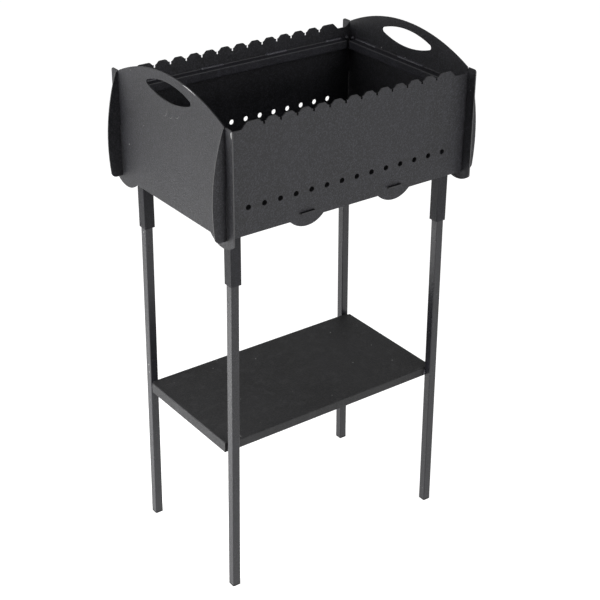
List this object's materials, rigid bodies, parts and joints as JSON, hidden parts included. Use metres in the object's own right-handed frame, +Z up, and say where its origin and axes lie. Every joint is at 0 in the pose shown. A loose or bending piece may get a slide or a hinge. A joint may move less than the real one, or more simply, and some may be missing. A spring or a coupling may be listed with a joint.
{
  "type": "charcoal brazier",
  "caption": "Slot-together sheet-steel charcoal brazier with skewer notches, arched carrying ends and ledge rails, standing on square-tube legs with a shelf.",
  "frame": {"origin": "on the floor, in the middle between the four legs", "axes": "+Z up, +X along the long walls to the right, +Y from the front to the back"},
  "size_m": [0.5304, 0.356, 0.9109],
  "materials": {
    "wall_paint": "satin black heat-resistant paint",
    "tube_paint": "satin black heat-resistant paint",
    "plate_paint": "satin black heat-resistant paint",
    "leg_paint": "satin graphite paint",
    "shelf_paint": "satin black paint",
    "cap_plastic": "matte black"
  },
  "bodies": {
    "stand": {"front_left_leg": "leg_paint", "front_right_leg": "leg_paint", "back_left_leg": "leg_paint", "back_right_leg": "leg_paint", "front_left_cap": "cap_plastic", "front_right_cap": "cap_plastic", "back_left_cap": "cap_plastic", "back_right_cap": "cap_plastic", "shelf": "shelf_paint"},
    "ends": {"left_wall": "wall_paint", "right_wall": "wall_paint", "left_rail": "tube_paint", "right_rail": "tube_paint", "left_cross_bar": "tube_paint", "right_cross_bar": "tube_paint", "front_left_socket": "tube_paint", "front_right_socket": "tube_paint", "back_left_socket": "tube_paint", "back_right_socket": "tube_paint"},
    "trough": {"front_wall": "wall_paint", "back_wall": "wall_paint", "front_rail": "tube_paint", "back_rail": "tube_paint", "bottom_plate": "plate_paint"}
  },
  "joints": [
    {"name": "box_lift", "type": "slide", "parent": "stand", "child": "ends", "axis": [0, 0, 1], "range_m": [0, 0.112]},
    {"name": "trough_lift", "type": "slide", "parent": "ends", "child": "trough", "axis": [0, 0, 1], "range_m": [0, 0.205]}
  ]
}
